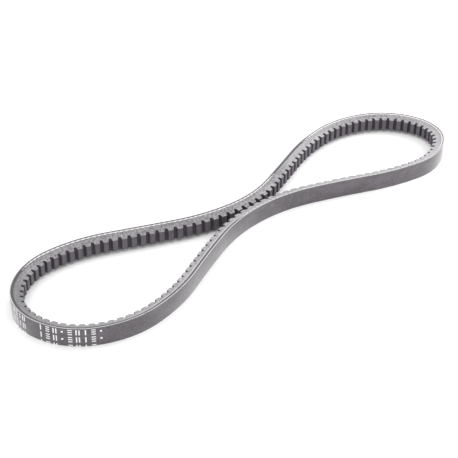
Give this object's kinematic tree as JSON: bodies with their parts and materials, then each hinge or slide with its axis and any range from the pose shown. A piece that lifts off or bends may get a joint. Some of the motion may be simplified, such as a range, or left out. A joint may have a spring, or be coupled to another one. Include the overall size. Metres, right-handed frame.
{
  "type": "v belt",
  "caption": "Endless raw-edge cogged V belt with canvas back, cord layer and moulded cogs, standing on its side in a slack two-lobed loop.",
  "frame": {"origin": "centre of the loop's plan box, on the surface that the belt stands on", "axes": "+Z across the belt's width, upwards as it stands; +X along the loop's long axis"},
  "size_m": [0.365, 0.093, 0.013],
  "materials": {
    "back_canvas": "rubber-filled woven canvas, smooth and satin",
    "bedding_rubber": "dark, cut clean",
    "tensile_cord": "twisted white polyester cord",
    "compression_rubber": "fibre-filled rubber, ground matt on the flanks",
    "cog_canvas": "rubber-filled woven canvas, matt"
  },
  "bodies": {
    "root": {"back_canvas": "back_canvas", "overcord_rubber": "bedding_rubber", "adhesion_rubber": "bedding_rubber", "tensile_cord_01": "tensile_cord", "tensile_cord_02": "tensile_cord", "tensile_cord_03": "tensile_cord", "tensile_cord_04": "tensile_cord", "tensile_cord_05": "tensile_cord", "tensile_cord_06": "tensile_cord", "tensile_cord_07": "tensile_cord", "tensile_cord_08": "tensile_cord", "tensile_cord_09": "tensile_cord", "tensile_cord_10": "tensile_cord", "compression_rubber": "compression_rubber", "cog_facing_canvas": "cog_canvas"}
  },
  "joints": []
}
